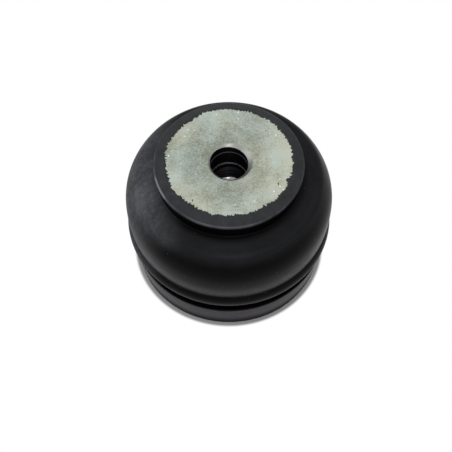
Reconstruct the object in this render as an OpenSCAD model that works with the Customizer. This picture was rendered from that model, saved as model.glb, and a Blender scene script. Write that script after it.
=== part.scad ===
// Bonded anti-vibration mount: a black rubber dome moulded round two steel inserts.
// The top insert shows its bare round face, and the base insert lies flush with the underside.
// Millimetres, +Z up, origin at the centre of the base.

/* [Overall] */
// Height from the base to the bare steel face
height = 35; // [32:0.5:45]

/* [Screw holes] */
// Diameter of the tapped holes before the thread is cut
tap_d = 6.8; // [5:0.1:8]
// Diameter of the plain lead-in above the thread of the top hole
lead_d = 8.5; // [8.2:0.1:9.5]
// Depth of the lead-in below the steel face
lead_depth = 6.5; // [4:0.1:8]
// Depth of the tapped length in each insert
thread_len = 5.5; // [4:0.1:7]
// Width of the chamfer at the mouth of each hole
mouth_chamfer = 0.7; // [0.3:0.05:1]
// Depth below the steel face of the fine tool groove in the lead-in
tool_groove_depth = 2.5; // [1.5:0.1:3.5]
// Radial depth of the tool groove, half of its width
tool_groove = 0.2; // [0.1:0.05:0.4]
// Angle of the drill point at the foot of each hole
drill_angle = 118; // [90:1:140]

/* [Steel inserts] */
// Diameter of the top insert's flange, under the rubber
flange_d = 30.4; // [26:0.1:31]
// Thickness of the top insert's flange
flange_t = 2.6; // [2:0.1:4]
// Diameter of the base insert's flange
base_flange_d = 37; // [30:0.1:39]
// Thickness of the base insert's flange
base_flange_t = 3; // [2:0.1:5]
// Bevel of both flange rims, which the rubber grips
rim_bevel = 0.6; // [0.3:0.05:1]
// Diameter of the hub on each insert
hub_d = 15; // [13:0.1:20]
// Steel left between the foot of each hole and the end of its hub
hub_floor = 1.6; // [1:0.1:3]

/* [Collar and neck] */
// Diameter of the collar's sharp outer edge
collar_d = 33.5; // [32:0.1:36]
// Fall of the collar's top from the steel face to its outer edge
collar_fall = 1; // [0.2:0.05:2]
// Diameter of the neck where it meets the shoulder
neck_d = 32.2; // [31.8:0.1:34]
// Depth of the neck's foot below the steel face
neck_depth = 5.3; // [4.5:0.1:6.5]
// Fillet between the neck and the shoulder
neck_fillet = 0.6; // [0.3:0.05:1]

/* [Dome] */
// Largest diameter of the dome
dome_d = 46.7; // [45:0.1:52]
// Downward slope of the shoulder, in degrees
shoulder_slope = 10; // [5:0.5:15]
// Radius of the dome's side in section
dome_r = 12.4; // [11.5:0.1:13]
// Depth below the steel face of the dome's widest line
widest_depth = 13.85; // [13:0.05:15]
// Radius of the flank in section, which draws in below the widest line
flank_r = 30; // [26:0.5:60]
// Radius that blends the shoulder into the dome's side
blend_r = 2.5; // [1:0.1:4]

/* [Ridge, slit and base band] */
// Largest diameter of the ridge, which meets the flank in a shallow groove
ridge_d = 46.4; // [45.8:0.1:46.6]
// Height of the ridge's largest diameter
ridge_z = 12.55; // [12.2:0.05:13]
// Radius of the ridge's rounded side in section
ridge_r = 3.6; // [3.4:0.1:5]
// Height of the ridge's flat underside, the roof of the slit
slit_top = 9.7; // [9.3:0.1:10]
// Diameter at the foot of the slit between ridge and band
slit_d = 40.4; // [38:0.1:42]
// Height of the base band, up to the slit
band_h = 7.1; // [6:0.1:8]
// Diameter of the band's upper edge
band_d = 43.9; // [42:0.1:46]
// Diameter of the band at the floor
foot_d = 42; // [41:0.1:44]
// Bevel on the band's upper and lower edges
band_bevel = 0.3; // [0.1:0.05:0.8]

/* [Hidden] */
$fn = 96;
// Overlap that keeps cuts clear of the faces they pass
cut = 1;
// Rubber profile: points and circles in the section plane, as [radius, height]
shoulder_z = height - neck_depth;
widest_z = height - widest_depth;
neck_foot = [neck_d / 2, shoulder_z];
dome_c = [dome_d / 2 - dome_r, widest_z];
// The blend circle touches the shoulder line and the dome's side from within
down = [-sin(shoulder_slope), -cos(shoulder_slope)];
along = [cos(shoulder_slope), -sin(shoulder_slope)];
blend_line = neck_foot + blend_r * down;
blend_reach = dome_c - blend_line;
blend_mid = blend_reach * along;
blend_side = blend_reach - blend_mid * along;
blend_c = blend_line
    + (blend_mid + sqrt(pow(dome_r - blend_r, 2) - blend_side * blend_side)) * along;
blend_top = blend_c - blend_r * down;
blend_out = blend_c + blend_r * (blend_c - dome_c) / norm(blend_c - dome_c);
blend_past = blend_c + 2 * (blend_top + blend_out - 2 * blend_c);
flank_c = [dome_d / 2 - flank_r, widest_z];
ridge_c = [ridge_d / 2 - ridge_r, ridge_z];
// Depths of the holes, and the far ends of the hubs round them
hole_depth = lead_depth + thread_len;
point_h = tap_d / 2 / tan(drill_angle / 2);
top_hub_z = height - hole_depth - point_h - hub_floor;
base_hub_z = thread_len + mouth_chamfer + point_h + hub_floor;

// Shoulder, side and flank of the dome in section, down into the ridge
module dome_section() {
    difference() {
        union() {
            intersection() {
                translate(dome_c) circle(dome_r);
                translate([0, widest_z]) square([dome_d, dome_r]);
            }
            translate([0, widest_z]) square([dome_c[0], dome_r]);
            intersection() {
                translate(flank_c) circle(flank_r);
                translate([0, ridge_z]) square([dome_d, widest_z - ridge_z]);
            }
        }
        polygon([
            neck_foot - dome_d * along,
            neck_foot + dome_d * along,
            neck_foot + dome_d * along - height * down,
            neck_foot - dome_d * along - height * down
        ]);
        difference() {
            polygon([blend_c, blend_top, blend_past, blend_out]);
            translate(blend_c) circle(blend_r);
        }
    }
}

// Collar and neck in section: a sharp outer edge, and a wall that leans in to the shoulder
module collar_section() {
    polygon([
        [0, widest_z],
        [neck_foot[0], widest_z],
        neck_foot,
        [collar_d / 2, height - collar_fall],
        [flange_d / 2 - rim_bevel, height],
        [0, height]
    ]);
    difference() {
        translate([neck_foot[0] - neck_fillet, shoulder_z - neck_fillet])
            square(2 * neck_fillet);
        translate(neck_foot + [neck_fillet, neck_fillet]) circle(neck_fillet);
    }
}

// Ridge, slit and base band in section
module band_section() {
    square([slit_d / 2, ridge_z]);
    translate([0, slit_top]) square([ridge_c[0], widest_z - slit_top]);
    intersection() {
        translate(ridge_c) circle(ridge_r);
        translate([0, slit_top]) square([dome_d, 2 * ridge_r]);
    }
    polygon([
        [0, 0],
        [foot_d / 2 - band_bevel, 0],
        [foot_d / 2, band_bevel],
        [band_d / 2, band_h - band_bevel],
        [band_d / 2 - band_bevel, band_h],
        [0, band_h]
    ]);
}

// Solid form of the top insert, before its hole is drilled
module top_blank() {
    rotate_extrude()
        polygon([
            [0, top_hub_z],
            [hub_d / 2, top_hub_z],
            [hub_d / 2, height - flange_t],
            [flange_d / 2, height - flange_t],
            [flange_d / 2, height - rim_bevel],
            [flange_d / 2 - rim_bevel, height],
            [0, height]
        ]);
}

// Solid form of the base insert, before its hole is drilled
module base_blank() {
    rotate_extrude()
        polygon([
            [0, 0],
            [base_flange_d / 2 - rim_bevel, 0],
            [base_flange_d / 2, rim_bevel],
            [base_flange_d / 2, base_flange_t],
            [hub_d / 2, base_flange_t],
            [hub_d / 2, base_hub_z],
            [0, base_hub_z]
        ]);
}

// Tapped blind hole down from the origin, with a drill point at its foot
module tapped_hole(depth) {
    translate([0, 0, -depth]) {
        cylinder(h = depth + cut, d = tap_d);
        translate([0, 0, -point_h]) cylinder(h = point_h, d1 = 0, d2 = tap_d);
    }
}

// Chamfer round the mouth of a hole whose face is at the origin
module mouth(d) {
    translate([0, 0, -mouth_chamfer])
        cylinder(h = mouth_chamfer + cut, d1 = d, d2 = d + 2 * (mouth_chamfer + cut));
}

module rubber_body() {
    color([0.13, 0.13, 0.14])
        difference() {
            rotate_extrude() {
                collar_section();
                dome_section();
                band_section();
            }
            top_blank();
            base_blank();
        }
}

module top_insert() {
    color([0.66, 0.69, 0.65])
        difference() {
            top_blank();
            translate([0, 0, height]) {
                mouth(lead_d);
                translate([0, 0, -lead_depth]) cylinder(h = lead_depth + cut, d = lead_d);
                translate([0, 0, -tool_groove_depth - tool_groove])
                    cylinder(h = 2 * tool_groove, d = lead_d + 2 * tool_groove);
                tapped_hole(hole_depth);
            }
        }
}

module base_insert() {
    color([0.66, 0.69, 0.65])
        difference() {
            base_blank();
            mirror([0, 0, 1]) {
                mouth(tap_d);
                tapped_hole(thread_len + mouth_chamfer);
            }
        }
}

rubber_body();
top_insert();
base_insert();
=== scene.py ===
import math

import bmesh
import bpy
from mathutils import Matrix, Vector, noise


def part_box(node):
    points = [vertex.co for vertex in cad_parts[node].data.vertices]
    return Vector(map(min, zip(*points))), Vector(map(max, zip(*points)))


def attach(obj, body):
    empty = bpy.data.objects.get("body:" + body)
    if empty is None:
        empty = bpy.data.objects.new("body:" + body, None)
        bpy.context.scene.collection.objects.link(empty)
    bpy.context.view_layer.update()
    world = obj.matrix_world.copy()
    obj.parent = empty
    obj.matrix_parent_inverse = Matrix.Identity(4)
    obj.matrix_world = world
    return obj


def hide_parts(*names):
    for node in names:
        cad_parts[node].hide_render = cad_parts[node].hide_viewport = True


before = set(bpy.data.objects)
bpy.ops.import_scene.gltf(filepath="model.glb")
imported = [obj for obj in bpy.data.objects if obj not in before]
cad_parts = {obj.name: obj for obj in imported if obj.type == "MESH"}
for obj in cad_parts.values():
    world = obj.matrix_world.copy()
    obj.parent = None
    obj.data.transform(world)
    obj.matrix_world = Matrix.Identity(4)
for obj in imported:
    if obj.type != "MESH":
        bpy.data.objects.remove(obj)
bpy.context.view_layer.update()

# Rubber body
# One black rubber moulding with a collar, a neck, a dome, a rounded ridge, a slit and a base band.
# It is cured round both steel inserts, so its inner faces are theirs. Handling has left dust and scuffs on it.
# Its colour also carries painted light: highlights on flank and collar edge, sheen on the left, shade at neck
# and foot.
MM = 0.001
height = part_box("top_insert")[1].z
flange_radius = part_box("top_insert")[1].x
top_hub_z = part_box("top_insert")[0].z
base_flange_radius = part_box("base_insert")[1].x
base_hub_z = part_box("base_insert")[1].z
dome_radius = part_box("rubber_body")[1].x
flange_thickness = 2.6 * MM
base_flange_thickness = 3.0 * MM
rim_bevel = 0.6 * MM
hub_radius = 7.5 * MM
collar_radius = 16.75 * MM
collar_z = height - 1.0 * MM
collar_edge = 0.25 * MM
neck_radius = 16.1 * MM
neck_z = height - 5.3 * MM
neck_fillet = 0.3 * MM
side_arc = 12.4 * MM
widest_z = height - 13.85 * MM
shoulder_slope = math.radians(10)
blend_arc = 2.5 * MM
flank_arc = 30.0 * MM
ridge_radius = 23.2 * MM
ridge_z = 12.55 * MM
ridge_arc = 3.6 * MM
slit_top = 9.7 * MM
slit_radius = 20.2 * MM
band_height = 7.1 * MM
band_radius = 21.95 * MM
foot_radius = 21.0 * MM
band_edge = 0.3 * MM


class Wire:
    """A node's output that takes arithmetic: each operator adds a Math node to the same tree."""

    def __init__(self, tree, socket):
        self.tree = tree
        self.socket = socket

    @staticmethod
    def node(tree, kind, settings=None, inputs=None, output=None):
        """Adds a node, sets its settings and then its sockets, and returns one output as a Wire."""
        made = tree.nodes.new(kind)
        for key, value in (settings or {}).items():
            setattr(made, key, value)
        for key, value in (inputs or {}).items():
            socket = next(s for s in made.inputs if s.enabled and key in (s.identifier, s.name))
            Wire.feed(tree, socket, value)
        shown = [s for s in made.outputs if s.enabled and (output is None or output in (s.identifier, s.name))]
        return Wire(tree, shown[0]) if shown else None

    @staticmethod
    def feed(tree, socket, value):
        """Links a Wire to a socket, or sets a plain value on it."""
        if isinstance(value, Wire):
            tree.links.new(value.socket, socket)
        else:
            socket.default_value = value

    def maths(self, operation, *values):
        """Adds a Math node that takes the values in their order."""
        return Wire.node(
            self.tree, "ShaderNodeMath", {"operation": operation}, dict(zip(("Value", "Value_001"), values)))

    def __add__(self, other):
        return self.maths("ADD", self, other)

    __radd__ = __add__

    def __mul__(self, other):
        return self.maths("MULTIPLY", self, other)

    __rmul__ = __mul__

    def __sub__(self, other):
        return self.maths("SUBTRACT", self, other)

    def __rsub__(self, other):
        return self.maths("SUBTRACT", other, self)

    def larger(self, other):
        return self.maths("MAXIMUM", self, other)

    def smaller(self, other):
        return self.maths("MINIMUM", self, other)

    def step(self, low, high):
        """0 below low, 1 above high, and a smooth rise between them."""
        return Wire.node(
            self.tree, "ShaderNodeMapRange", {"interpolation_type": "SMOOTHSTEP"},
            {"Value": self, "From Min": low, "From Max": high, "To Min": 0.0, "To Max": 1.0})


class Finish:
    """A material with one Principled shader, whose varying inputs come from Wires."""

    def __init__(self, name, **constants):
        self.material = bpy.data.materials.new(name)
        self.material.use_nodes = True
        self.tree = self.material.node_tree
        self.shader = self.tree.nodes["Principled BSDF"]
        for key, value in constants.items():
            self.shader.inputs[key.replace("_", " ")].default_value = value
        self.place = self.node("ShaderNodeTexCoord", output="Object")

    def node(self, kind, settings=None, inputs=None, output=None):
        return Wire.node(self.tree, kind, settings, inputs, output)

    def vector(self, operation, other, output="Vector"):
        """Vector maths on the place that is shaded."""
        return self.node("ShaderNodeVectorMath", {"operation": operation},
                         {"Vector": self.place, "Vector_001": other}, output)

    def along(self, axis):
        """The place along one axis of the part."""
        return self.node("ShaderNodeSeparateXYZ", None, {"Vector": self.place}, axis)

    def from_axis(self):
        """Distance from the part's vertical axis."""
        flat = self.vector("MULTIPLY", (1.0, 1.0, 0.0))
        return self.node("ShaderNodeVectorMath", {"operation": "LENGTH"}, {"Vector": flat}, "Value")

    def noise(self, size, detail=2.0, roughness=0.5, place=None):
        """Cloudy noise from 0 to 1 whose patches are about as wide as size."""
        return self.node(
            "ShaderNodeTexNoise", {"noise_dimensions": "3D"},
            {"Vector": place or self.place, "Scale": 1 / size, "Detail": detail, "Roughness": roughness})

    def specks(self, cell, size, share):
        """Soft round specks, one in some of the cells, from 0 to 1."""
        cells = {"Vector": self.place, "Scale": 1 / cell}
        near, pick = (self.node("ShaderNodeTexVoronoi", {"feature": "F1"}, cells, output)
                      for output in ("Distance", "Color"))
        chance = self.node("ShaderNodeSeparateColor", None, {"Color": pick}, "Red")
        return (1 - near.step(0.5 * size / cell, size / cell)) * chance.step(1 - share, 1 - share + 0.01)

    def mix(self, share, first, second, blend="MIX"):
        return self.node("ShaderNodeMix", {"data_type": "RGBA", "blend_type": blend},
                         {"Factor": share, "A": first, "B": second})

    def feed(self, **wires):
        """Feeds the shader's inputs, named with underscores for spaces."""
        for key, wire in wires.items():
            Wire.feed(self.tree, self.shader.inputs[key.replace("_", " ")], wire)

    def bump(self, relief, depth):
        self.feed(Normal=self.node(
            "ShaderNodeBump", None, {"Strength": 1.0, "Distance": depth, "Height": relief}))


def arc(centre, radius, start, end, steps):
    """Points on a circle in the section plane, from one angle in degrees to another."""
    angles = [math.radians(start + (end - start) * i / steps) for i in range(steps + 1)]
    return [(centre[0] + radius * math.cos(a), centre[1] + radius * math.sin(a)) for a in angles]


def crossing(first, first_radius, second, second_radius):
    """The outer one of the two points where two circles in the section plane cross."""
    apart = second - first
    along_line = (apart.length_squared + first_radius ** 2 - second_radius ** 2) / (2 * apart.length)
    beside = math.sqrt(first_radius ** 2 - along_line ** 2)
    unit = apart.normalized()
    return max((first + along_line * unit + side * beside * Vector((-unit.y, unit.x)) for side in (1, -1)),
               key=lambda point: point.x)


def turn_from(centre, point):
    """Angle in degrees at which a point is seen from a circle's centre."""
    return math.degrees(math.atan2(point.y - centre.y, point.x - centre.x))


def form_tree(name, outline, sizes):
    """Starts a node tree that takes an outline and named sizes, and gives it with its inputs as Wires."""
    tree = bpy.data.node_groups.new(name, "GeometryNodeTree")
    kinds = {outline: "Geometry", **sizes, "Finish": "Material"}
    for label, kind in kinds.items():
        tree.interface.new_socket(label, in_out="INPUT", socket_type="NodeSocket" + kind)
    tree.interface.new_socket("Form", in_out="OUTPUT", socket_type="NodeSocketGeometry")
    return tree, {label: Wire.node(tree, "NodeGroupInput", output=label) for label in kinds}


def close_tree(tree, form, finish):
    """Ends a node tree with the instances made real and the finish set."""
    form = Wire.node(tree, "GeometryNodeRealizeInstances", None, {"Geometry": form})
    form = Wire.node(tree, "GeometryNodeSetMaterial", None, {"Geometry": form, "Material": finish})
    Wire.node(tree, "NodeGroupOutput", None, {"Form": form})
    return tree


def revolve_tree():
    """A node tree that turns a section, drawn as radius and height, about the Z axis."""
    tree, given = form_tree(
        "Revolved section", "Section", {"Segments": "Int", "Rail Radius": "Float", "Weld": "Float"})
    section = Wire.node(tree, "GeometryNodeMeshToCurve", None, {"Mesh": given["Section"]})
    place = Wire.node(tree, "GeometryNodeInputPosition")
    radius, lift = (Wire.node(tree, "ShaderNodeSeparateXYZ", None, {"Vector": place}, axis) for axis in "XY")
    turned = Wire.node(
        tree, "ShaderNodeCombineXYZ", None, {"X": radius - given["Rail Radius"], "Y": lift * -1.0})
    section = Wire.node(tree, "GeometryNodeSetPosition", None, {"Geometry": section, "Position": turned})
    rail = Wire.node(
        tree, "GeometryNodeCurvePrimitiveCircle", None,
        {"Resolution": given["Segments"], "Radius": given["Rail Radius"]})
    solid = Wire.node(tree, "GeometryNodeCurveToMesh", None, {"Curve": rail, "Profile Curve": section})
    solid = Wire.node(
        tree, "GeometryNodeMergeByDistance", None, {"Geometry": solid, "Distance": given["Weld"]})
    solid = Wire.node(tree, "GeometryNodeSetShadeSmooth", None, {"Geometry": solid})
    return close_tree(tree, solid, given["Finish"])


def placed(name, data):
    """A new object at the origin, in the scene."""
    made = bpy.data.objects.new(name, data)
    bpy.context.scene.collection.objects.link(made)
    return made


def face_outward(mesh):
    """Turns the faces outward and keeps the edges sharp that bend by more than 28 degrees."""
    work = bmesh.new()
    work.from_mesh(mesh)
    bmesh.ops.recalc_face_normals(work, faces=work.faces)
    for edge in work.edges:
        edge.smooth = len(edge.link_faces) == 2 and edge.calc_face_angle(0) < math.radians(28)
    work.to_mesh(mesh)
    work.free()


def formed(name, outline, lines, tree, values):
    """Runs a node tree on an outline of points and lines, and keeps the result as a plain mesh object."""
    drawn = bpy.data.meshes.new(name + "_outline")
    drawn.from_pydata([(x, y, 0.0) for x, y in outline], lines, [])
    carrier = placed(name + "_carrier", drawn)
    modifier = carrier.modifiers.new("Form", "NODES")
    modifier.node_group = tree
    sockets = {s.name: s.identifier for s in tree.interface.items_tree if s.in_out == "INPUT"}
    for key, value in values.items():
        modifier[sockets[key]] = value
    bpy.context.view_layer.update()
    evaluated = carrier.evaluated_get(bpy.context.evaluated_depsgraph_get())
    mesh = bpy.data.meshes.new_from_object(evaluated)
    bpy.data.objects.remove(carrier)
    face_outward(mesh)
    mesh.name = name
    return placed(name, mesh)


REVOLVE = revolve_tree()


def revolved(name, section, finish, segments):
    """A closed piece turned from a section that starts and ends on the axis."""
    lines = [(i, i + 1) for i in range(len(section) - 1)]
    values = {"Segments": segments, "Rail Radius": 10 * MM, "Weld": 0.002 * MM, "Finish": finish.material}
    return formed(name, section, lines, REVOLVE, values)


# The blend between shoulder and side is a circle that touches both from within.
neck_foot = Vector((neck_radius, neck_z))
down = Vector((-math.sin(shoulder_slope), -math.cos(shoulder_slope)))
outward = Vector((math.cos(shoulder_slope), -math.sin(shoulder_slope)))
side_centre = Vector((dome_radius - side_arc, widest_z))
blend_line = neck_foot + blend_arc * down
to_side = side_centre - blend_line
off_line = to_side - to_side.dot(outward) * outward
blend_run = to_side.dot(outward) + math.sqrt((side_arc - blend_arc) ** 2 - off_line.length_squared)
blend_centre = blend_line + blend_run * outward
blend_angle = turn_from(side_centre, blend_centre)
shoulder_angle = 90 - math.degrees(shoulder_slope)
neck_centre = neck_foot + Vector((neck_fillet, neck_fillet))

# Below the widest line the flank draws in on a large arc to a shallow groove, and the ridge bulges out again.
flank_centre = Vector((dome_radius - flank_arc, widest_z))
ridge_centre = Vector((ridge_radius - ridge_arc, ridge_z))
groove = crossing(flank_centre, flank_arc, ridge_centre, ridge_arc)
ridge_foot = -math.degrees(math.asin((ridge_z - slit_top) / ridge_arc))

rubber_section = [
    (0, base_hub_z), (hub_radius, base_hub_z), (hub_radius, base_flange_thickness),
    (base_flange_radius, base_flange_thickness), (base_flange_radius, rim_bevel),
    (base_flange_radius - rim_bevel, 0),
    *arc((foot_radius - band_edge, band_edge), band_edge, -90, 0, 5),
    *arc((band_radius - band_edge, band_height - band_edge), band_edge, 0, 90, 5),
    (slit_radius, band_height), (slit_radius, slit_top),
    *arc(ridge_centre, ridge_arc, ridge_foot, turn_from(ridge_centre, groove), 20),
    *arc(flank_centre, flank_arc, turn_from(flank_centre, groove), 0, 16)[1:],
    *arc(side_centre, side_arc, 0, blend_angle, 24)[1:],
    *arc(blend_centre, blend_arc, blend_angle, shoulder_angle, 10)[1:],
    *arc(neck_centre, neck_fillet, 180 + shoulder_angle, 180, 6),
    *arc((collar_radius - collar_edge, collar_z - collar_edge), collar_edge, -10, 65, 6),
    (flange_radius - rim_bevel, height), (flange_radius, height - rim_bevel),
    (flange_radius, height - flange_thickness), (hub_radius, height - flange_thickness),
    (hub_radius, top_hub_z), (0, top_hub_z),
]

rubber_black = (0.0012, 0.0012, 0.0015, 1)
# Pale grey of the dust, also used for the painted highlights and sheen.
dust_and_highlight_grey = (0.208, 0.212, 0.225, 1)
band_grey = (0.23, 0.21, 0.23, 1)
collar_line_pitch = 0.35 * MM
# Middle of the highlight painted on the collar's left edge.
left_highlight_spot = (-15.3 * MM, -6.2 * MM, collar_z - 0.2 * MM)
# Middle of a paler stretch of the collar's edge in front.
front_pale_spot = (-1.5 * MM, -16.7 * MM, collar_z - 0.2 * MM)
# Lower edge of the highlight painted on the flank.
flank_highlight_foot = 14.2 * MM

rubber = Finish("Black rubber", Specular_IOR_Level=0.04, IOR=1.5)
across = rubber.along("X")
level = rubber.along("Z")
reach_out = rubber.from_axis()
cloud = rubber.noise(9 * MM, 4, 0.6)
fine_cloud = rubber.noise(2 * MM, 3, 0.6)
smudge = rubber.noise(0.9 * MM, 5, 0.75).step(0.42, 0.75)
streak = rubber.noise(1 * MM, 4, 0.65, rubber.vector("MULTIPLY", (0.12, 0.12, 1.6)))
dust = (0.7 * cloud + 0.3 * fine_cloud).step(0.5, 0.75)
fleck = rubber.specks(1.2 * MM, 0.19 * MM, 0.36)
ring = reach_out * (2 * math.pi / collar_line_pitch)
turning = ring.maths("SINE", ring)

# Where the marks lie, from the collar's wiped top and the neck below it, kept black as painted shade, down to
# the dusty band.
wiped = level.step(collar_z - 0.1 * MM, collar_z)
# The neck under the collar is kept black, as painted shade under the collar's overhang.
neck_shade = level.step(neck_z, neck_z + neck_fillet) * (1 - level.step(collar_z - 1 * MM, collar_z - 0.7 * MM))
# The shoulder's dust stops short of the neck, which leaves a strip of painted shade beside it.
settled = (level.step(neck_z - 4.3 * MM, neck_z - 1.3 * MM) * (1 - wiped)
           * reach_out.step(neck_radius + 0.1 * MM, neck_radius + 2.1 * MM))
# The left side, toward the window, is paler: dust, with its amount raised as painted sheen on that lit side.
lower_left = 5 * MM * (1 - level.step(24 * MM, 29 * MM))
dusty_lit_side = (1 - (across + lower_left).step(-21 * MM, -9 * MM)) * (1 - wiped)
# A pale band on the flank, painted as the highlight of the pale table reflected there.
flank_highlight_band = (level.step(flank_highlight_foot, flank_highlight_foot + 0.8 * MM)
           * (1 - level.step(flank_highlight_foot + 1.3 * MM, flank_highlight_foot + 5.8 * MM)))
matted = level.step(slit_top, slit_top + 0.5 * MM) * (1 - level.step(14 * MM, 14.5 * MM))
# The band's pale dust fades out toward the foot, as painted contact shade there.
banded = (level.step(0.2 * MM, 0.6 * MM) * (0.2 + 0.8 * level.step(0.8 * MM, 4 * MM))
          * (1 - level.step(band_height - 0.5 * MM, band_height)))

# The collar's edge is worn in patches, with a painted highlight on its left and a long paler stretch in front.
worn_edge = (level.step(collar_z - 0.7 * MM, collar_z - 0.5 * MM)
             * reach_out.step(collar_radius - 0.45 * MM, collar_radius - 0.2 * MM))
# A highlight painted on the collar's left edge.
left_edge_highlight = 1 - rubber.vector("DISTANCE", left_highlight_spot, "Value").step(1.6 * MM, 3.8 * MM)
# A long paler stretch of the collar's edge in front.
front_paling = 1 - rubber.vector("DISTANCE", front_pale_spot, "Value").step(5 * MM, 12 * MM)
scuffs_and_edge_highlight = worn_edge * (0.04 + 0.35 * cloud.step(0.45, 0.65) * fine_cloud + 0.9 * left_edge_highlight
                       + front_paling * (0.1 + 0.3 * fine_cloud))

dome_flecks = fleck * (0.02 + 0.4 * cloud) * (1 - 0.8 * settled) * level.step(13 * MM, 15 * MM)
left_dust_and_sheen = dusty_lit_side * (0.2 + 0.22 * cloud.step(0.3, 0.75) + 0.26 * smudge)
shoulder_dust = settled * (0.05 * cloud + 0.07 * streak)
flank_painted_highlight = flank_highlight_band * (0.17 + 0.06 * fine_cloud)
collar_dust = wiped * 0.19 * (0.6 + 0.8 * fine_cloud + 0.16 * turning * fine_cloud)
# Dust and wear mix here with the painted flank and collar highlights, the left side's sheen and the neck's
# shade.
pale = ((0.01 * dust + dome_flecks + left_dust_and_sheen + shoulder_dust + flank_painted_highlight) * (1 - neck_shade)
        + collar_dust + scuffs_and_edge_highlight)
dust_and_painted_light = rubber.mix(pale.smaller(1.0), rubber_black, dust_and_highlight_grey)
rubber.feed(
    Base_Color=rubber.mix(banded * (0.18 + 0.26 * fine_cloud), dust_and_painted_light, band_grey),
    Roughness=0.28 + 0.1 * dust + 0.08 * fine_cloud + 0.14 * wiped + 0.2 * dusty_lit_side + 0.06 * matted)
rubber.bump(rubber.noise(0.25 * MM, 2) + 2 * fine_cloud + wiped * turning * fine_cloud * 0.25, 0.006 * MM)
rubber_body = revolved("rubber_moulding", rubber_section, rubber, 256)
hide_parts("rubber_body")
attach(rubber_body, "root")

# Top insert
# A turned steel insert with pale zinc plating. Its round face is left bare.
# Its flange and hub sit in the rubber, and a screw goes down its chamfered hole to the thread.
lead_radius = 4.25 * MM
ledge_z = height - 6.5 * MM
ledge_fall = 0.7 * MM
ledge_radius = 3.8 * MM
mouth_chamfer = 0.7 * MM
mouth_radius = lead_radius + mouth_chamfer
mouth_shift = Vector((0.32 * MM, -0.12 * MM))
tool_groove = 0.2 * MM
tool_groove_z = height - 2.5 * MM
thread_root = 4.0 * MM
thread_length = 5.5 * MM
hole_foot = ledge_z - thread_length
drill_point = thread_root / math.tan(math.radians(59))
face_edge = flange_radius - rim_bevel
tolerance = 0.001 * MM

zinc_dark = (0.185, 0.207, 0.175, 1)
zinc_pale = (0.5, 0.532, 0.468, 1)
yellow_tint = (1.0, 0.985, 0.9, 1)
blue_tint = (0.95, 0.985, 1.0, 1)
crystal = (0.85, 0.87, 0.83, 1)
cut_steel = (0.3, 0.3, 0.29, 1)
# Near-black painted into the hole's wall as its shade.
hole_shade_black = (0.009, 0.008, 0.01, 1)
bare_steel = (0.95, 0.95, 1.0, 1)


def zinc_finish(name, cut_tones):
    """Dull mottled zinc plating with bright crystals; its hole's wall painted near-black as shade, with bare
    cuts.

    Each cut is given by its lower and upper height, its brightness and its polish.
    """
    zinc = Finish(name, Specular_IOR_Level=0.5)
    broad = zinc.noise(13 * MM, 2)
    patch = zinc.noise(4 * MM, 5, 0.65)
    grain = zinc.noise(0.5 * MM, 4, 0.8)
    spark = zinc.specks(0.7 * MM, 0.2 * MM, 0.12)
    passivation = zinc.noise(8 * MM, 3, 0.6).step(0.38, 0.62)
    out = zinc.from_axis()
    lift = zinc.along("Z")
    rim = out.step(8 * MM, 13.6 * MM)
    wall = 1 - out.step(lead_radius + 0.01 * MM, lead_radius + 0.04 * MM)
    deep = (1 - out.step(5.0 * MM, 5.05 * MM)) * (1 - lift.step(height - 1.6 * MM, height - 1.5 * MM))
    inside = wall.larger(deep) * lift.step(mouth_chamfer, mouth_chamfer + 0.03 * MM)
    mouth = ((1 - out.step(5.4 * MM, 5.5 * MM)) * (1 - inside)
             * (1 - lift.step(height - 0.03 * MM, height - 0.005 * MM)))
    bright = polish = 0
    for low, high, cut_brightness, cut_polish in cut_tones:
        cut = lift.step(low - 0.02 * MM, low) * (1 - lift.step(high, high + 0.02 * MM)) * inside
        bright = bright + cut * cut_brightness
        polish = polish + cut * cut_polish
    mottled = (0.26 * broad + 0.36 * patch + 0.38 * grain + 0.06 * rim).step(0.35, 0.65)
    plated = zinc.mix(1.0, zinc.mix(mottled, zinc_dark, zinc_pale),
                      zinc.mix(passivation, yellow_tint, blue_tint), "MULTIPLY")
    sparkling = zinc.mix(spark * rim, plated, crystal)
    chamfered = zinc.mix(mouth * 0.85, sparkling, cut_steel)
    # The hole's wall is painted near-black, as the shade deep in the hole.
    hole_shaded = zinc.mix(inside, chamfered, hole_shade_black)
    zinc.feed(
        Base_Color=zinc.mix(bright, hole_shaded, bare_steel),
        Metallic=0.5 + 0.2 * patch + 0.3 * mouth + 0.35 * inside,
        Roughness=(0.5 + 0.2 * grain - 0.2 * spark - 0.15 * inside) * (1 - 0.85 * polish) * (1 - 0.35 * mouth))
    zinc.bump((zinc.noise(0.4 * MM, 3) + 0.5 * patch) * (1 - bright), 0.02 * MM)
    return zinc


def face_rings(inner, outer, z):
    """Points across a flat ring, from its inner to its outer edge."""
    return [(inner + (outer - inner) * i / 8, z) for i in range(9)]


# The cuts keep lighter steel tones against the wall's painted shade: a dim groove, the ledge and the polished
# foot.
top_zinc = zinc_finish("Zinc plating, top", (
    (tool_groove_z - tool_groove, tool_groove_z + tool_groove, 0.03, 0.0),
    (ledge_z - 0.28 * MM, ledge_z, 0.3, 0.0),
    (0.0, hole_foot, 0.2, 1.0)))
top_section = [
    (0, top_hub_z), (hub_radius, top_hub_z), (hub_radius, height - flange_thickness),
    (flange_radius, height - flange_thickness), (flange_radius, height - rim_bevel),
    *face_rings(face_edge, mouth_radius, height),
    (lead_radius, height - mouth_chamfer), (lead_radius, tool_groove_z + tool_groove),
    *arc((lead_radius, tool_groove_z), tool_groove, 60, -60, 6),
    (lead_radius, tool_groove_z - tool_groove), (lead_radius, ledge_z),
    (ledge_radius, ledge_z - ledge_fall), (thread_root, ledge_z - ledge_fall - 0.1 * MM),
    (thread_root, hole_foot), (0, hole_foot - drill_point),
]
top_insert = revolved("top_insert_steel", top_section, top_zinc, 192)
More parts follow.
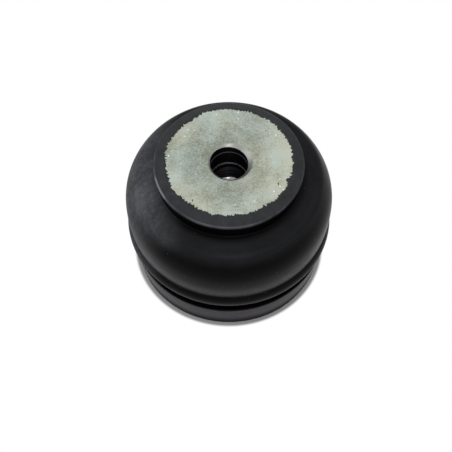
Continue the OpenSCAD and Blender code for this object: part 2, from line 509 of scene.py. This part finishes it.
# The countersink that broke the hole's mouth ran a little to the right and front, and it cut deeper there.
for point in top_insert.data.vertices:
    spot = point.co.xy
    if abs(point.co.z - height) < tolerance and spot.length < mouth_radius + tolerance:
        point.co.xy = spot + mouth_shift
    elif abs(point.co.z - height + mouth_chamfer) < tolerance and spot.length < lead_radius + tolerance:
        point.co.z -= spot.normalized().dot(mouth_shift)
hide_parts("top_insert")
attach(top_insert, "root")

# Top thread
# The thread that a tap cut below the hole's ledge, in the same plated steel.
# It is one ridge wound round the wall, with a flattened crest.
thread_crest = 3.4 * MM
thread_pitch = 1.25 * MM
thread_seat = 0.05 * MM
thread_start = ledge_z - ledge_fall - 0.5 * MM


def thread_tree():
    """A node tree that winds a ridge round the Z axis, its root set into the wall of a hole."""
    tree, given = form_tree(
        "Wound thread", "Ridge",
        {"Turns": "Float", "Radius": "Float", "Rise": "Float", "Start": "Float", "Steps": "Int"})
    helix = Wire.node(tree, "GeometryNodeCurveSpiral", None,
                      {"Resolution": given["Steps"], "Rotations": given["Turns"], "Height": given["Rise"],
                       "Start Radius": given["Radius"], "End Radius": given["Radius"]})
    start = Wire.node(tree, "ShaderNodeCombineXYZ", None, {"Z": given["Start"]})
    helix = Wire.node(tree, "GeometryNodeSetPosition", None, {"Geometry": helix, "Offset": start})
    helix = Wire.node(tree, "GeometryNodeSetCurveNormal", {"mode": "Z_UP"}, {"Curve": helix})
    ridge = Wire.node(tree, "GeometryNodeMeshToCurve", None, {"Mesh": given["Ridge"]})
    thread = Wire.node(
        tree, "GeometryNodeCurveToMesh", None, {"Curve": helix, "Profile Curve": ridge, "Fill Caps": True})
    return close_tree(tree, thread, given["Finish"])


WIND = thread_tree()


def wound_thread(name, low, high, finish):
    """A thread between two heights: the ridge's section is drawn across its path."""
    deep = thread_root - thread_crest
    ridge = [(-thread_seat, -0.45 * thread_pitch), (deep, -0.06 * thread_pitch),
             (deep, 0.06 * thread_pitch), (-thread_seat, 0.45 * thread_pitch)]
    values = {"Turns": (high - low) / thread_pitch, "Radius": thread_root, "Rise": high - low, "Start": low,
              "Steps": 64, "Finish": finish.material}
    return formed(name, ridge, [(0, 1), (1, 2), (2, 3), (3, 0)], WIND, values)


top_thread = wound_thread("top_thread", hole_foot + 0.1 * MM, thread_start, top_zinc)
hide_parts("top_insert")
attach(top_thread, "root")

# Base insert
# The second turned and plated steel insert, bonded flush into the underside.
# It has a blind tapped hole for the frame's screw.
base_face_edge = base_flange_radius - rim_bevel
base_hole_foot = thread_length + mouth_chamfer
base_zinc = zinc_finish("Zinc plating, base", ((base_hole_foot, 2 * base_hole_foot, 0.2, 1.0),))
base_section = [
    (0, base_hole_foot + drill_point), (thread_root, base_hole_foot), (thread_root, mouth_chamfer),
    *face_rings(thread_root + mouth_chamfer, base_face_edge, 0),
    (base_flange_radius, rim_bevel), (base_flange_radius, base_flange_thickness),
    (hub_radius, base_flange_thickness), (hub_radius, base_hub_z), (0, base_hub_z),
]
base_insert = revolved("base_insert_steel", base_section, base_zinc, 192)
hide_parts("base_insert")
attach(base_insert, "root")

# Base thread
# The thread that a tap cut in the base insert's hole, in its plated steel.
# It is the same wound ridge as the top one.
base_thread = wound_thread("base_thread", mouth_chamfer + 0.6 * MM, base_hole_foot - 0.6 * MM, base_zinc)
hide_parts("base_insert")
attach(base_thread, "root")

# Flash film
# A paper-thin skin of rubber that crept over the rim of the steel face in the mould and tore off.
# Its ragged edge has fine teeth all round and a few larger bites in front, and two torn flakes lie on the face.
film_inner = 14.1 * MM
film_outer = 14.75 * MM
film_top = height + 0.02 * MM
film_foot = height - 0.08 * MM
film_steps = 1800
# Each bite as its place and width in degrees and its depth in millimetres.
film_bites = ((-20.4, 2.6, 0.75), (-57.0, 0.9, 0.8), (4.0, 0.9, 0.35), (-38.0, 1.6, 0.3), (-112.0, 1.2, 0.25),
              (-128.0, 0.8, 0.4), (-84.0, 1.0, 0.3), (-66.0, 0.7, 0.35))
# Each flake as its place across and along the face and its size, in millimetres.
film_flakes = ((10.8, -5.9, 0.3), (-7.9, -10.2, 0.24))
flake_corners = 7


def film_edge(turn):
    """Radius of the torn edge at a turn in degrees."""
    around = Vector((math.cos(math.radians(turn)), math.sin(math.radians(turn)), 0.0))
    teeth = noise.fractal(around * 26, 0.5, 2.1, 4) * 0.36 * MM
    lobes = noise.noise(around * 9 + Vector((2, 5, 8))) * 0.26 * MM
    drift = noise.noise(around * 2.3 + Vector((7, 3, 1))) * 0.3 * MM
    bite = sum(depth * MM * math.exp(-((turn - place + 180) % 360 - 180) ** 2 / wide ** 2)
               for place, wide, depth in film_bites)
    return min(film_inner + teeth + lobes + drift - bite, face_edge - 0.05 * MM)


film_points = []
film_faces = []
for i in range(film_steps):
    turn = 360 * i / film_steps
    torn = film_edge(turn)
    for r, z in ((film_outer, film_foot), (torn, film_foot), (torn + 0.01 * MM, (height + film_top) / 2),
                 (torn + 0.05 * MM, film_top), (face_edge, film_top)):
        film_points.append((r * math.cos(math.radians(turn)), r * math.sin(math.radians(turn)), z))
    after = (i + 1) % film_steps
    film_faces += [(5 * i + k, 5 * after + k, 5 * after + (k + 1) % 5, 5 * i + (k + 1) % 5) for k in range(5)]
for x, y, size in film_flakes:
    corners = [len(film_points) + 2 * i for i in range(flake_corners)]
    for i in range(flake_corners):
        angle = 2 * math.pi * i / flake_corners
        span = size * (1 + 0.5 * math.sin(3 * i + x)) * MM
        corner = (x * MM + 0.6 * span * math.cos(angle), y * MM + 1.5 * span * math.sin(angle))
        film_points += [(*corner, film_foot), (*corner, film_top)]
    film_faces += [corners[::-1], [i + 1 for i in corners]]
    film_faces += [(a, b, b + 1, a + 1) for a, b in zip([corners[-1], *corners], corners)]
film_mesh = bpy.data.meshes.new("flash_film")
film_mesh.from_pydata(film_points, [], film_faces)
face_outward(film_mesh)
film_mesh.materials.append(rubber.material)
film = placed("flash_film", film_mesh)
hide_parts("rubber_body")
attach(film, "root")

# Floor, light and camera
# A plain pale table under an even sky, with a softbox overhead, a window on the left and a tall lamp in front.
# The camera and reflections see table and sky as white, and the table keeps the contact shadow.
# It is clear from below and open under the part, so that the underside is lit as well.
floor_half = 1.5
floor_z = -0.05 * MM
shadow_edge = 21.5 * MM
floor_mesh = bpy.data.meshes.new("floor")
floor_corners = [(x * floor_half, y * floor_half, floor_z) for x, y in ((-1, -1), (1, -1), (1, 1), (-1, 1))]
floor_mesh.from_pydata(floor_corners, [], [(0, 1, 2, 3)])
floor = placed("floor", floor_mesh)


def seen_white(tree):
    """1 for the rays that see the background as white: from the camera, in reflections and through glass."""
    camera_ray, glossy_ray, clear_ray = (
        Wire.node(tree, "ShaderNodeLightPath", output=name)
        for name in ("Is Camera Ray", "Is Glossy Ray", "Is Transmission Ray"))
    return camera_ray.larger(glossy_ray).larger(clear_ray)


table = Finish("White table", Roughness=0.9, Specular_IOR_Level=0.0)
from_middle = table.from_axis()
table.feed(Base_Color=table.mix(table.noise(30 * MM, 3), (0.47, 0.46, 0.45, 1), (0.53, 0.52, 0.51, 1)))
glow = table.node("ShaderNodeEmission", None, {"Color": (1, 1, 1, 1), "Strength": 1.0})
lit_table = table.node(
    "ShaderNodeMixShader", None,
    {"Fac": seen_white(table.tree) * from_middle.step(shadow_edge, shadow_edge + 0.8 * MM),
     "Shader": Wire(table.tree, table.shader.outputs["BSDF"]), "Shader_001": glow})
from_below = table.node("ShaderNodeNewGeometry", output="Backfacing")
opened = 1 - from_middle.step(foot_radius - 1 * MM, foot_radius - 0.8 * MM)
open_table = table.node(
    "ShaderNodeMixShader", None,
    {"Fac": from_below.larger(opened), "Shader": lit_table,
     "Shader_001": table.node("ShaderNodeBsdfTransparent")})
table.tree.links.new(open_table.socket, table.tree.nodes["Material Output"].inputs["Surface"])
floor_mesh.materials.append(table.material)


def lamp(name, place, wide, high, power):
    """A soft lamp, wide and high as given, that faces the middle of the part."""
    data = bpy.data.lights.new(name, "AREA")
    data.shape = "RECTANGLE"
    data.size = wide
    data.size_y = high
    data.energy = power
    made = placed(name, data)
    made.location = place
    made.rotation_mode = "QUATERNION"
    made.rotation_quaternion = (Vector((0, 0, height / 2)) - Vector(place)).to_track_quat("-Z", "Y")


lamp("softbox", (0.0, 0.1, 1.0), 1.6, 1.6, 3.4)
lamp("window", (-0.88, 0.0, 0.42), 0.8, 0.8, 1.8)
lamp("front_lamp", (0.08, -0.68, 0.73), 0.2, 0.7, 2.0)

scene = bpy.context.scene
scene.view_settings.view_transform = "Standard"
scene.world = bpy.data.worlds.new("Room")
scene.world.use_nodes = True
room = scene.world.node_tree
sky_light, sky_white = (
    Wire.node(room, "ShaderNodeBackground", None, {"Color": colour, "Strength": 1.0})
    for colour in ((0.42, 0.43, 0.455, 1), (1, 1, 1, 1)))
sky = Wire.node(room, "ShaderNodeMixShader", None,
                {"Fac": seen_white(room), "Shader": sky_light, "Shader_001": sky_white})
room.links.new(sky.socket, room.nodes["World Output"].inputs["Surface"])

elevation = math.radians(57.8)
distance = 425 * MM
aim = Vector((-0.66 * MM, 0, 8.36 * MM))
camera_data = bpy.data.cameras.new("camera")
camera_data.sensor_width = 36
camera_data.lens = 145.6
camera_data.clip_start = 0.01
camera = placed("camera", camera_data)
camera.location = aim + distance * Vector((0, -math.cos(elevation), math.sin(elevation)))
camera.rotation_euler = (math.pi / 2 - elevation, 0, 0)
scene.camera = camera
